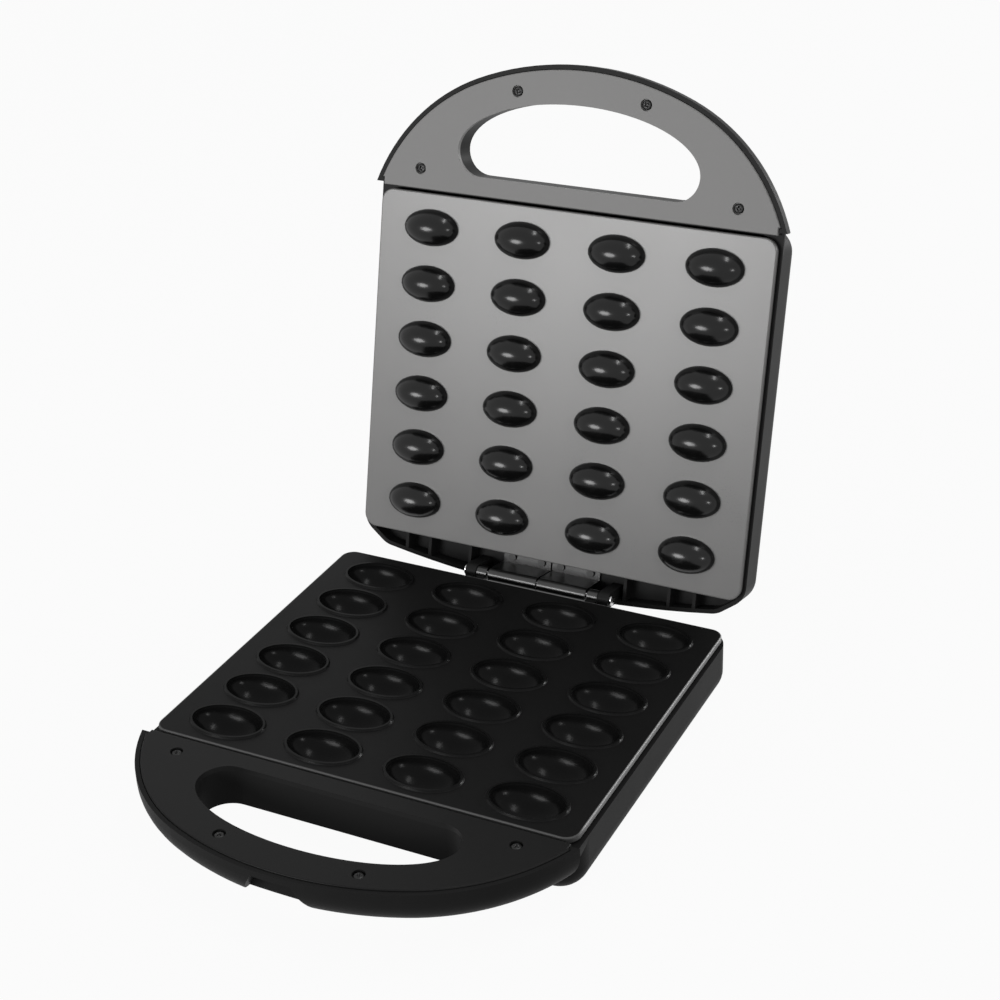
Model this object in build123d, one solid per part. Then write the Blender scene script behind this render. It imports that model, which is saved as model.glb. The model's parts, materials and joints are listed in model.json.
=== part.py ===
"""Electric nut-shell pastry maker: two hinged halves, each with a baking plate, an element and a grip.

Both halves are drawn in one half frame, with the baking face at z = 0, the body below it, and the
middle of the mould grid at x = y = 0. The hinge is at the back, +Y. The upper half is mirrored onto
the lower one and then swung open.
"""
from build123d import *
import os

# The mould grid
columns = 4
rows = 6
column_pitch = 60.0
row_pitch = 33.9
mould_length = 42.0
mould_width = 27.0
mould_wall = 2.2
bead_width = 2.0
bead_height = 1.1
bead_slope = 35.0
dome_length = 35.0
dome_width = 22.0
hollow_length = 31.0
hollow_width = 19.0

# Baking plates
plate_width = 250.0
plate_length = 212.0
plate_shift = 1.0
plate_wall = 3.0
plate_corner = 8.0
plate_edge_round = 0.8
plate_gap = 1.5
skirt_inset = 5.0
skirt_wall = 2.0
skirt_depth = 8.0

# Housings
body_depth = 36.0
lid_depth = 34.0
wall = 2.5
rim_ledge = 2.0
rim_drop = 4.5
front_ledge = 3.5
back_ledge = 4.5
corner_radius = 16.0
edge_radius = 14.0
lid_corner_cut = 16.0
lid_corner_back = 12.0
lid_bow = 20.5
lid_bow_corner = 14.0
trough_depth = 14.0
trough_rib = 2.0
trough_rib_places = (52.0, 80.0, 96.0)

# Grips
grip_reach = 79.5
lower_grip_depth = 24.0
upper_grip_depth = 16.0
grip_flare = 2.5
lower_grip_round = 18.0
upper_grip_round = 11.0
shoulder_half_width = 66.0
shoulder_drop = 13.0
grip_bar = 22.5
grip_bridge = 9.5
finger_width = 152.0
finger_corner = 15.0
cover_thickness = 3.0
cover_gap = 0.4
cover_edge_round = 0.6
cover_back_gap = 2.0
grip_rim_drop = 0.8
notch_strip = 4.5
notch_narrow = 23.0
notch_slant = 0.55
notch_reach = 14.0

# Screws of the grip covers
cover_screw_x = (100.0, 40.0)
cover_screw_y = (119.0, 170.0)
cover_recess_radius = 3.5
cover_recess_depth = 1.8
boss_radius = 4.5
screw_radius = 1.45
screw_clearance = 0.25
thread_clearance = 0.05
screw_head_radius = 2.8
screw_head_height = 1.4
cover_screw_length = 11.0
boss_hole_depth = 10.5

# Plate posts and screws
post_radius = 5.0
post_inset = 13.0
plate_boss_radius = 4.0
seat_depth = 17.5
plate_screw_recess = 4.5
plate_screw_length = 22.0
recess_gap = 0.6
plug_thickness = 1.6

# Reflector trays
tray_sheet = 0.6
tray_rim = 6.0
tray_gap = 1.0

# Tubular elements
tube_radius = 3.3
leg_place = 60.0
cross_run_row = 2.0
lower_tube_drop = 12.6
upper_tube_gap = 0.5
tube_bend = 16.0
leg_end = 80.0
pin_radius = 1.2
insulator_radius = 3.6
insulator_length = 5.0
pin_length = 11.0
clamp_sheet = 1.2
clamp_width = 8.0
clamp_reach = 8.0
clamp_boss_radius = 3.0
clamp_screw_length = 6.0
clamp_head_radius = 2.4

# Hinge
hinge_place = 120.2
hinge_height = -4.2
open_angle = 103.5
knuckle_radius = 4.25
hinge_pin_radius = 2.0
running_gap = 0.05
knuckle_split = 0.5
knuckle_end = 32.2
collar_start = 33.6
collar_end = 40.0
ear_start = 40.6
ear_end = 47.5
ear_radius = 4.6
pin_head_radius = 3.2
pin_head = 1.0
pin_head_gap = 0.3
leaf_sheet = 1.6
leaf_foot = 8.5
leaf_edge_gap = 3.2
bracket_sheet = 1.6
bracket_side = 7.0
bracket_drop = 4.0
bracket_height = 14.0
gusset_depth = 8.0
hinge_screw_length = 7.0
hinge_screw_inset = 4.0
leaf_screw_inset = 6.0
hinge_boss_length = 7.0

# Feet
foot_height = 4.0
foot_radius = 9.0
foot_x = 95.0
foot_front = -80.0
foot_back = 88.0
foot_recess = 1.0
foot_gap = 0.1
foot_boss_height = 9.0
foot_screw_length = 9.0
foot_screw_recess = 2.5

# Cord gland and wiring
gland_x = -84.0
gland_height = 11.5
gland_bore = 3.5
gland_radius = 5.5
gland_flange_radius = 8.0
gland_flange = 3.0
gland_flange_round = 1.0
gland_pad_radius = 9.5
gland_pad = 8.0
gland_nut_radius = 8.0
gland_nut = 3.5
gland_thread_end = 0.5
block_length = 30.0
block_width = 16.0
block_height = 9.0
block_x = -30.0
block_y = 78.0
lead_radius = 1.1
lead_bend = 5.0

# Lid controls
lamp_radius = 4.0
lamp_spacing = 28.0
lamp_inset = 26.0
lamp_stand = 1.4
lamp_round = 1.26
lamp_gap = 0.1
lamp_cup_wall = 1.4
lamp_cup_depth = 9.0
thermostat_radius = 8.0
thermostat_height = 6.0
thermostat_base = 2.0
thermostat_ear = 12.0
thermostat_row = 1.0
fuse_radius = 2.2
fuse_length = 14.0
fuse_row = -1.0

# Derived places
plate_front = plate_shift - plate_length / 2
plate_back = plate_shift + plate_length / 2
body_half = plate_width / 2 + rim_ledge
body_front = plate_front - front_ledge
body_back = plate_back + back_ledge
grip_back = body_front
grip_front = grip_back - grip_reach
grip_half = body_half + grip_flare
cover_back = plate_front - cover_back_gap
finger_front = grip_front + grip_bar
finger_back = grip_back - grip_bridge
pin_hole = hinge_pin_radius + running_gap
upper_tube_drop = plate_wall + upper_tube_gap + tube_radius
level = foot_height + body_depth
lamp_y = body_front + lamp_inset
hinge_above_lid = plate_gap - hinge_height
cross_run = -cross_run_row * row_pitch
mirror_x = (-1, 1)


def grid_places():
    """The centre of every mould on the face."""
    return [
        ((column - (columns - 1) / 2) * column_pitch, (row - (rows - 1) / 2) * row_pitch)
        for column in range(columns)
        for row in range(rows)
    ]


def post_places():
    """The five screw posts: one in the middle and one near each corner, between two rows."""
    side = plate_width / 2 - post_inset
    line = 2 * row_pitch
    return [(0, 0)] + [(x * side, y * line) for x in mirror_x for y in mirror_x]


def clamp_places():
    """Two clamps on each leg of the element."""
    return [(x * leg_place, y * row_pitch) for x in mirror_x for y in (0, 2)]


def cover_screw_places():
    """Two screws near the back corners of the grip and two in its bar."""
    return [(side * x, -y) for side in mirror_x for x, y in zip(cover_screw_x, cover_screw_y)]


def drum(x, y, low, high, radius):
    """An upright cylinder between two levels."""
    return Pos(x, y, (low + high) / 2) * Cylinder(radius, high - low)


def rod_x(start, end, y, z, radius):
    """A cylinder along X."""
    return Pos((start + end) / 2, y, z) * Rot(0, 90, 0) * Cylinder(radius, end - start)


def rod_y(x, start, end, z, radius):
    """A cylinder along Y."""
    return Pos(x, (start + end) / 2, z) * Rot(90, 0, 0) * Cylinder(radius, end - start)


def block(low, high):
    """A box between two corners."""
    middle = [(a + b) / 2 for a, b in zip(low, high)]
    return Pos(*middle) * Box(*[b - a for a, b in zip(low, high)])


def oval_body(length, width):
    """An egg-like solid of revolution about X, centred on the face."""
    profile = Ellipse(length / 2, width / 2) & Pos(0, width / 4) * Rectangle(length, width / 2)
    return revolve(profile, Axis.X)


def prism(face, low, high):
    """A plane outline extruded between two levels."""
    return extrude(Pos(0, 0, low) * face, high - low)


def plate_face(inset):
    """The outline of a baking plate, drawn in by an inset."""
    corner = max(plate_corner - inset, plate_edge_round)
    return Pos(0, plate_shift) * RectangleRounded(plate_width - 2 * inset, plate_length - 2 * inset, corner)


def lower_body_face():
    """The outline of the lower body."""
    middle = (body_front + body_back) / 2
    return Pos(0, middle) * RectangleRounded(2 * body_half, body_back - body_front, corner_radius)


def upper_body_face():
    """The outline of the lid body: its back corners are cut off and its back edge is bowed."""
    cut_start = plate_back - plate_edge_round
    side = body_half - lid_corner_cut
    back = cut_start + lid_corner_back
    bow = plate_back + lid_bow
    edge = Polyline(
        (-side, back), (-body_half, cut_start), (-body_half, body_front), (body_half, body_front),
        (body_half, cut_start), (side, back),
    )
    face = make_face(Curve() + [edge, ThreePointArc((side, back), (0, bow), (-side, back))])
    return fillet(face.vertices(), lid_bow_corner)


def grip_face():
    """The outline of the grip: a shallow front arc and two corner arcs that meet it smoothly."""
    shoulder = grip_front + shoulder_drop
    front = ThreePointArc((-shoulder_half_width, shoulder), (0, grip_front), (shoulder_half_width, shoulder))
    right = TangentArc((shoulder_half_width, shoulder), (grip_half, grip_back), tangent=front % 1)
    left = mirror(right, Plane.YZ)
    back = Polyline((grip_half, grip_back), (-grip_half, grip_back))
    return make_face(Curve() + [front, right, back, left])


def grip_tail_face():
    """The part of the grip that wraps the front corners of the body."""
    back = body_front + corner_radius
    return Pos(0, (body_front + back) / 2) * Rectangle(2 * body_half, back - body_front)


def finger_face(grow=0.0):
    """The outline of the hole that the fingers go through: half an ellipse, closed by a rounded back."""
    half = finger_width / 2 + grow
    corner = finger_corner + grow
    middle = finger_back - finger_corner
    side = half - corner
    front = EllipticalCenterArc((0, middle), half, middle - finger_front + grow, 180, arc_size=180)
    right = CenterArc((side, middle), corner, 0, 90)
    back = Line((side, middle + corner), (-side, middle + corner))
    left = CenterArc((-side, middle), corner, 90, 90)
    return make_face(Curve() + [front, right, back, left])


def notch(grow):
    """The slanted pocket in the outer side of the grip bar, with a wall's growth if wanted."""
    top = grow - notch_strip
    low = -lower_grip_depth - wall
    narrow = notch_narrow / 2 + grow
    wide = narrow + notch_slant * (top - low)
    section = make_face(Polyline((-narrow, top), (-wide, low), (wide, low), (narrow, top), (-narrow, top)))
    end = grip_front + notch_reach + grow
    return Pos(0, end) * extrude(Plane.XZ * section, notch_reach + grow + wall)


def body_shell(face, depth):
    """The outer solid of a half's body, with its far edge rounded."""
    solid = prism(face, -depth, -rim_drop)
    return fillet(solid.faces().sort_by(Axis.Z)[0].edges(), edge_radius)


def body_core(face, depth, inset, top):
    """The body's outer solid drawn in by an inset, up to a level."""
    solid = prism(offset(face, -inset), inset - depth, top)
    return fillet(solid.faces().sort_by(Axis.Z)[0].edges(), edge_radius - inset)


def grip_shell(depth, rounding):
    """The outer solid of a grip, rounded along its outer edge, with the tails that wrap the body."""
    bow = prism(grip_face(), -depth, -grip_rim_drop)
    rim = [e for e in bow.faces().sort_by(Axis.Z)[0].edges() if e.center().Y < grip_back - wall]
    bow = fillet(rim, rounding)
    tail = prism(grip_tail_face(), -depth, -rim_drop)
    sides = [e for e in tail.faces().sort_by(Axis.Z)[0].edges() if abs(e.center().X) > body_half - wall]
    return bow + fillet(sides, rounding)


def grip_hollow(depth, rounding):
    """The space inside a grip, around its finger hole and its notch."""
    solid = prism(offset(grip_face(), -wall), wall - depth, wall)
    rim = [e for e in solid.faces().sort_by(Axis.Z)[0].edges() if e.center().Y < grip_back - 2 * wall]
    solid = fillet(rim, rounding - wall)
    return solid - prism(finger_face(wall), -depth, 2 * wall) - notch(wall)


def screw(x, y, head_top, length, head_radius=screw_head_radius, head=screw_head_height):
    """A screw that points down from its head."""
    body = drum(x, y, head_top - head - length, head_top - head, screw_radius)
    return body + drum(x, y, head_top - head, head_top, head_radius)


def screw_up(x, y, head_bottom, length, head_radius=screw_head_radius, head=screw_head_height):
    """A screw that points up from its head."""
    body = drum(x, y, head_bottom + head, head_bottom + head + length, screw_radius)
    return body + drum(x, y, head_bottom, head_bottom + head, head_radius)


def housing(face, depth, grip_depth, rounding):
    """One half's moulded housing: body, grip, screw bosses and plate posts."""
    hole = prism(finger_face(), -grip_depth - wall, wall)
    grip = grip_shell(grip_depth, rounding)
    shell = body_shell(face, depth) + grip - notch(0) - hole
    shell = shell - body_core(face, depth, wall, wall) - grip_hollow(grip_depth, rounding)
    cover_seat = -cover_thickness
    shell = shell - prism(cover_face(cover_gap), cover_seat, wall)
    pilot = screw_radius + thread_clearance
    for x, y in cover_screw_places():
        shell = shell + (drum(x, y, wall / 2 - grip_depth, cover_seat, boss_radius) & grip)
        shell = shell - drum(x, y, cover_seat - boss_hole_depth, cover_seat, pilot)
    post_top = -seat_depth - tray_sheet
    recess_top = plate_screw_recess - depth
    for x, y in post_places():
        shell = shell + drum(x, y, wall / 2 - depth, post_top, post_radius)
        shell = shell - drum(x, y, recess_top, post_top, screw_radius + screw_clearance)
        shell = shell - drum(x, y, -depth, recess_top, screw_head_radius + recess_gap)
    return shell


def lower_housing():
    """The lower housing, with bosses for the feet and the hinge and a hole for the cord."""
    shell = housing(lower_body_face(), body_depth, lower_grip_depth, lower_grip_round)
    pilot = screw_radius + thread_clearance
    floor = -body_depth
    for x, y in foot_places():
        shell = shell + drum(x, y, floor + wall / 2, floor + foot_boss_height, boss_radius)
        shell = shell - drum(x, y, floor, floor + foot_recess, foot_radius + foot_gap)
        shell = shell - drum(x, y, floor, floor + foot_boss_height, pilot)
    inner = body_back - wall
    for x, z in bracket_screw_places():
        shell = shell + rod_y(x, inner - hinge_boss_length, inner + wall / 2, z, boss_radius)
        shell = shell - rod_y(x, inner - hinge_boss_length, body_back, z, pilot)
    shell = shell + rod_y(gland_x, body_back - gland_pad, body_back, gland_z, gland_pad_radius)
    return shell - rod_y(gland_x, body_back - gland_pad, body_back, gland_z, gland_radius + running_gap)


def foot_places():
    """The four feet."""
    return [(x * foot_x, y) for x in mirror_x for y in (foot_front, foot_back)]


gland_z = gland_height - body_depth
bracket_top = hinge_height - bracket_drop


def bracket_screw_places():
    """Two screws in each bracket of the base, side by side."""
    z = bracket_top - bracket_height / 2
    near = collar_start - bracket_side + hinge_screw_inset
    far = collar_end + bracket_side - hinge_screw_inset
    return [(side * x, z) for side in mirror_x for x in (near, far)]


def leaf_screw_places():
    """Two screws in each leaf of the lid."""
    y = leaf_face_y() - leaf_foot + leaf_edge_gap
    near = knuckle_split + leaf_screw_inset
    far = knuckle_end - leaf_screw_inset
    return [(side * x, y) for side in mirror_x for x in (near, far)]


def leaf_face_y():
    """The back face of the lid's leaves, flush with the front of the knuckles."""
    return hinge_place - knuckle_radius + leaf_sheet


def upper_housing():
    """The lid housing, with the trough behind the plate and the ears that hold the hinge pin."""
    face = upper_body_face()
    back = plate_back + lid_bow + wall
    core = body_core(face, lid_depth, wall / 2, -rim_drop)
    behind = core & block((-body_half, plate_back - wall, -lid_depth), (body_half, back, -rim_drop))
    under = block((-body_half, plate_back, -lid_depth), (body_half, back, -trough_depth - wall))
    shell = housing(face, lid_depth, upper_grip_depth, upper_grip_round) + (behind - under)
    trough_face = offset(face, -wall) & Pos(0, (plate_back + back) / 2) * Rectangle(4 * body_half, back - plate_back)
    shell = shell - prism(trough_face, -trough_depth, wall)
    ribs = [side * x for side in mirror_x for x in trough_rib_places]
    for x in ribs:
        rib = block((x - trough_rib / 2, plate_back - wall / 2, -trough_depth - wall / 2),
                    (x + trough_rib / 2, back, -rim_drop))
        shell = shell + (rib & core)
    for side in mirror_x:
        shell = shell + hinge_ear(side)
    shell = shell - rod_x(-ear_end - wall, ear_end + wall, hinge_place, hinge_above_lid, pin_hole)
    pilot = screw_radius + thread_clearance
    for x, y in leaf_screw_places():
        low = -trough_depth - hinge_boss_length
        shell = shell + drum(x, y, low, -trough_depth - wall / 2, boss_radius)
        shell = shell - drum(x, y, low, -trough_depth, pilot)
    for x, y in lamp_places():
        shell = shell - drum(x, y, -lid_depth, wall - lid_depth, lamp_radius + lamp_gap)
    return shell


def hinge_ear(side):
    """One ear of the lid, which rises from the trough to the hinge pin."""
    start, end = sorted((side * ear_start, side * ear_end))
    bar = block((start, hinge_place - ear_radius, -trough_depth - wall / 2),
                (end, hinge_place + ear_radius, hinge_above_lid))
    return bar + rod_x(start, end, hinge_place, hinge_above_lid, ear_radius)


def cover_face(gap):
    """The outline of a grip cover with a gap all round, before its finger hole is cut."""
    inset = offset(grip_face(), gap - wall - cover_gap)
    low = grip_back - 2 * wall
    high = cover_back + gap
    half = plate_width / 2 - plate_edge_round + gap
    return inset + Pos(0, (low + high) / 2) * Rectangle(2 * half, high - low)


def grip_cover():
    """The flat cover of a grip, with a recess for each screw."""
    cover = prism(cover_face(0) - finger_face(), -cover_thickness, 0)
    cover = fillet(cover.faces().sort_by(Axis.Z)[-1].outer_wire().edges(), cover_edge_round)
    for x, y in cover_screw_places():
        cover = cover - drum(x, y, -cover_recess_depth, 0, cover_recess_radius)
        cover = cover - drum(x, y, -cover_thickness, 0, screw_radius + screw_clearance)
    return cover


def cover_screws():
    """The screws of one grip cover, seated in their recesses."""
    top = screw_head_height - cover_recess_depth
    return Compound([screw(x, y, top, cover_screw_length) for x, y in cover_screw_places()])


def plate_screw_tip(depth):
    """The level that a plate screw reaches."""
    return plate_screw_recess - depth + plate_screw_length


def plate_blank(tube_drop):
    """A plate without its moulds: face, locating skirt, screw bosses and clamp bosses."""
    slab = prism(plate_face(0), -plate_wall, 0)
    slab = fillet(slab.faces().sort_by(Axis.Z)[-1].edges(), plate_edge_round)
    ring = plate_face(skirt_inset) - plate_face(skirt_inset + skirt_wall)
    plate = slab + prism(ring, -skirt_depth, -plate_wall / 2)
    for x, y in post_places():
        plate = plate + drum(x, y, -seat_depth, -plate_wall / 2, plate_boss_radius)
    for x, y in clamp_places():
        for side in mirror_x:
            plate = plate + drum(x + side * clamp_reach, y, -tube_drop, -plate_wall / 2, clamp_boss_radius)
    return plate


def drill_plate(plate, tube_drop, depth):
    """Pilot holes for the plate screws and the clamp screws."""
    pilot = screw_radius + thread_clearance
    for x, y in post_places():
        plate = plate - drum(x, y, -seat_depth, plate_screw_tip(depth) + screw_clearance, pilot)
    for x, y in clamp_places():
        for side in mirror_x:
            top = min(clamp_screw_length - tube_drop, -plate_wall / 2)
            plate = plate - drum(x + side * clamp_reach, y, -tube_drop, top, pilot)
    return plate


def lower_plate():
    """The lower plate: an oval mould with a raised bead at every place of the grid."""
    plate = plate_blank(lower_tube_drop)
    rim = Ellipse(mould_length / 2 + bead_width, mould_width / 2 + bead_width)
    bead = extrude(rim, bead_height, taper=bead_slope)
    top = Pos(0, 0, bead_height)
    mould = top * oval_body(mould_length, mould_width)
    cup = top * oval_body(mould_length + 2 * mould_wall, mould_width + 2 * mould_wall)
    reach = mould_length
    cup = cup & block((-reach, -reach, -reach), (reach, reach, -plate_wall / 2))
    for x, y in grid_places():
        plate = plate + Pos(x, y) * cup
        plate = plate + Pos(x, y) * bead
        plate = plate - Pos(x, y) * mould
    return drill_plate(plate, lower_tube_drop, body_depth)


def upper_plate():
    """The upper plate: an oval dome at every place of the grid, hollow from behind."""
    plate = plate_blank(upper_tube_drop)
    reach = dome_length
    dome = oval_body(dome_length, dome_width) & block((-reach, -reach, -plate_wall / 2), (reach, reach, reach))
    hollow = Pos(0, 0, -plate_wall) * oval_body(hollow_length, hollow_width)
    hollow = hollow & block((-reach, -reach, -plate_wall - wall), (reach, reach, reach))
    for x, y in grid_places():
        plate = plate + Pos(x, y) * dome
        plate = plate - Pos(x, y) * hollow
    return drill_plate(plate, upper_tube_drop, lid_depth)


def element(drop):
    """A U-shaped tubular element with a contact pin in each end."""
    z = -drop
    path = FilletPolyline(
        (-leg_place, leg_end, z), (-leg_place, cross_run, z), (leg_place, cross_run, z),
        (leg_place, leg_end, z), radius=tube_bend,
    )
    tube = sweep(Plane(path @ 0, z_dir=path % 0) * Circle(tube_radius), path=path)
    for side in mirror_x:
        tube = tube + rod_y(side * leg_place, leg_end - tube_radius, leg_end + pin_length, z, pin_radius)
    return tube


def insulators(drop):
    """The ceramic beads on the contact pins."""
    beads = []
    for side in mirror_x:
        bead = rod_y(side * leg_place, leg_end, leg_end + insulator_length, -drop, insulator_radius)
        beads.append(bead - rod_y(side * leg_place, leg_end, leg_end + pin_length, -drop, pin_radius + running_gap))
    return Compound(beads)


def clamp(x, y, drop):
    """A saddle strap that holds the tube up against its two bosses."""
    half = clamp_reach + clamp_boss_radius
    low = -drop - clamp_sheet
    inner = tube_radius + running_gap
    outer = inner + clamp_sheet
    feet = block((x - half, y - clamp_width / 2, low), (x + half, y + clamp_width / 2, -drop))
    arch = rod_y(x, y - clamp_width / 2, y + clamp_width / 2, -drop, outer)
    arch = arch & block((x - half, y - clamp_width, -drop - outer), (x + half, y + clamp_width, -drop))
    strap = feet + arch - rod_y(x, y - clamp_width, y + clamp_width, -drop, inner)
    for side in mirror_x:
        strap = strap - drum(x + side * clamp_reach, y, low, -drop, screw_radius + screw_clearance)
    return strap


def clamps(drop):
    """All the straps of one element."""
    return Compound([clamp(x, y, drop) for x, y in clamp_places()])


def clamp_screws(drop):
    """The screws of the straps."""
    head_bottom = -drop - clamp_sheet - screw_head_height
    length = clamp_sheet + min(clamp_screw_length, drop - plate_wall / 2) - screw_clearance
    return Compound([
        screw_up(x + side * clamp_reach, y, head_bottom, length, clamp_head_radius)
        for x, y in clamp_places()
        for side in mirror_x
    ])


def reflector():
    """A sheet tray under the element, clamped between the posts and the plate bosses."""
    inset = skirt_inset + skirt_wall + tray_gap
    outer = plate_face(inset)
    tray = prism(outer, -seat_depth - tray_sheet, -seat_depth + tray_rim)
    tray = tray - prism(offset(outer, -tray_sheet), -seat_depth, 0)
    back = leg_end + insulator_length
    tray = tray - block((-body_half, back, -body_depth), (body_half, body_back, 0))
    for x, y in post_places():
        tray = tray - drum(x, y, -seat_depth - tray_sheet, -seat_depth, screw_radius + screw_clearance)
    return tray


def plate_screws(depth):
    """The long screws that hold plate, tray and housing together."""
    bottom = plate_screw_recess - depth - screw_head_height
    return Compound([screw_up(x, y, bottom, plate_screw_length) for x, y in post_places()])


def screw_plugs():
    """Plugs that close the screw recesses in the lid."""
    radius = screw_head_radius + recess_gap
    return Compound([
        drum(x, y, -lid_depth, plug_thickness - lid_depth, radius) for x, y in post_places()
    ])


def feet():
    """The rubber feet, each with a recess for its screw."""
    soles = []
    for x, y in foot_places():
        low = -body_depth - foot_height
        sole = drum(x, y, low, foot_recess - body_depth, foot_radius)
        sole = sole - drum(x, y, low, low + foot_screw_recess, screw_head_radius + recess_gap)
        soles.append(sole - drum(x, y, low, -body_depth + foot_recess, screw_radius + screw_clearance))
    return Compound(soles)


def foot_screws():
    """The screw in each foot."""
    head_bottom = foot_screw_recess - screw_head_height - body_depth - foot_height
    return Compound([screw_up(x, y, head_bottom, foot_screw_length) for x, y in foot_places()])


def base_brackets():
    """The two hinge brackets of the base: a foot on the back wall, a web and a ring on the pin."""
    brackets = []
    for side in mirror_x:
        start, end = sorted((side * collar_start, side * collar_end))
        foot = block((start - bracket_side, body_back, bracket_top - bracket_height),
                     (end + bracket_side, body_back + bracket_sheet, bracket_top))
        web = block((start, body_back, bracket_top - gusset_depth), (end, hinge_place, hinge_height))
        slope = make_face(Polyline(
            (hinge_place, bracket_top - gusset_depth), (hinge_place, hinge_height - knuckle_radius / 2),
            (body_back + bracket_sheet, bracket_top - gusset_depth), (hinge_place, bracket_top - gusset_depth),
        ))
        web = web - Pos(start) * extrude(Plane.YZ * slope, end - start)
        bracket = foot + web + rod_x(start, end, hinge_place, hinge_height, knuckle_radius)
        bracket = bracket - rod_x(start, end, hinge_place, hinge_height, hinge_pin_radius)
        for x, z in bracket_screw_places():
            bracket = bracket - rod_y(x, body_back, body_back + bracket_sheet, z, screw_radius + screw_clearance)
        brackets.append(bracket)
    return Compound(brackets)


def bracket_screws():
    """The screws of the base brackets, driven in from behind."""
    seat = body_back + bracket_sheet
    screws = []
    for x, z in bracket_screw_places():
        shank = rod_y(x, seat - hinge_screw_length, seat, z, screw_radius)
        screws.append(shank + rod_y(x, seat, seat + screw_head_height, z, clamp_head_radius))
    return Compound(screws)


def hinge_pin():
    """The pin through all the knuckles, with a head at each end."""
    reach = ear_end + pin_head_gap
    pin = rod_x(-reach, reach, hinge_place, hinge_height, hinge_pin_radius)
    for side in mirror_x:
        start, end = sorted((side * reach, side * (reach + pin_head)))
        pin = pin + rod_x(start, end, hinge_place, hinge_height, pin_head_radius)
    return pin


def lid_knuckles():
    """The two lid knuckles, each with a leaf that is screwed to the floor of the trough."""
    knuckles = []
    face = leaf_face_y()
    floor = -trough_depth
    for side in mirror_x:
        start, end = sorted((side * knuckle_split, side * knuckle_end))
        barrel = rod_x(start, end, hinge_place, hinge_above_lid, knuckle_radius)
        leaf = block((start, face - leaf_sheet, floor), (end, face, hinge_above_lid))
        foot = block((start, face - leaf_foot, floor), (end, face, floor + leaf_sheet))
        piece = barrel + leaf + foot
        piece = piece - rod_x(start, end, hinge_place, hinge_above_lid, pin_hole)
        for x, y in leaf_screw_places():
            piece = piece - drum(x, y, floor, floor + leaf_sheet, screw_radius + screw_clearance)
        knuckles.append(piece)
    return Compound(knuckles)


def leaf_screws():
    """The screws of the lid's leaves."""
    top = leaf_sheet - trough_depth + screw_head_height
    return Compound([screw(x, y, top, hinge_screw_length, clamp_head_radius) for x, y in leaf_screw_places()])


def gland():
    """The cord gland: a flanged bush through the pad of the back wall."""
    start = body_back - gland_pad - gland_nut - gland_thread_end
    body = rod_y(gland_x, start, body_back, gland_z, gland_radius)
    flange = rod_y(gland_x, body_back, body_back + gland_flange, gland_z, gland_flange_radius)
    flange = fillet(flange.edges().sort_by(Axis.Y)[-1], gland_flange_round)
    return body + flange - rod_y(gland_x, start, body_back + gland_flange, gland_z, gland_bore)


def gland_lock_nut():
    """The nut that draws the gland against the pad."""
    seat = body_back - gland_pad
    nut = Pos(gland_x, seat, gland_z) * Rot(90, 0, 0) * extrude(RegularPolygon(gland_nut_radius, 6), gland_nut)
    return nut - rod_y(gland_x, seat - gland_nut, seat, gland_z, gland_radius + running_gap)


def terminal_block():
    """The block where the cord and the leads meet, on the floor of the body."""
    floor = wall - body_depth
    body = block((block_x - block_length / 2, block_y - block_width / 2, floor),
                 (block_x + block_length / 2, block_y + block_width / 2, floor + block_height))
    way = block_length / 3
    for x in (block_x - way, block_x, block_x + way):
        body = body - drum(x, block_y, floor + block_height / 2, floor + block_height, screw_radius)
        body = body - rod_y(x, block_y, block_y + block_width, floor + block_height / 2, lead_radius)
    return body


def lead(points):
    """A wire along a route with rounded bends."""
    path = FilletPolyline(*points, radius=lead_bend)
    return sweep(Plane(path @ 0, z_dir=path % 0) * Circle(lead_radius), path=path)


def lower_leads():
    """One wire from each contact pin of the lower element to the terminal block."""
    way = block_length / 3
    middle = wall - body_depth + block_height / 2
    tip = leg_end + pin_length
    turn = tip + lead_bend + lead_radius
    enter = block_y + block_width / 2
    wires = []
    for side, way_x in ((-1, block_x - way), (1, block_x + way)):
        x = side * leg_place
        wires.append(lead([
            (x, tip, -lower_tube_drop), (x, turn, -lower_tube_drop), (x, turn, middle),
            (way_x, turn, middle), (way_x, enter, middle),
        ]))
    return Compound(wires)


def lamp_places():
    """The two lamps at the grip end of the lid."""
    return [(side * lamp_spacing / 2, lamp_y) for side in mirror_x]


def lamp_lens(place):
    """A lamp lens, domed where it stands out of the lid."""
    x, y = place
    lens = drum(x, y, -lid_depth - lamp_stand, 2 * wall - lid_depth, lamp_radius)
    lens = fillet(lens.edges().sort_by(Axis.Z)[0], lamp_round)
    return lens


def lamp_cups():
    """The cups that hold the lamps behind the lid."""
    cups = []
    for x, y in lamp_places():
        low = wall - lid_depth
        cup = drum(x, y, low, low + lamp_cup_depth, lamp_radius + lamp_gap + lamp_cup_wall)
        cups.append(cup - drum(x, y, low, low + lamp_cup_depth - lamp_cup_wall, lamp_radius + running_gap))
    return Compound(cups)


def thermostat():
    """The snap-disc thermostat on the back of the upper plate."""
    y = thermostat_row * row_pitch
    top = -plate_wall
    disc = drum(0, y, top - thermostat_height, top, thermostat_radius)
    base = block((-thermostat_ear, y - thermostat_radius / 2, top - thermostat_height - thermostat_base),
                 (thermostat_ear, y + thermostat_radius / 2, top - thermostat_height))
    return disc + base


def thermal_fuse():
    """The thermal fuse, lying on the back of the upper plate."""
    y = fuse_row * row_pitch
    return rod_y(0, y - fuse_length / 2, y + fuse_length / 2, -plate_wall - fuse_radius, fuse_radius)


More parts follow.
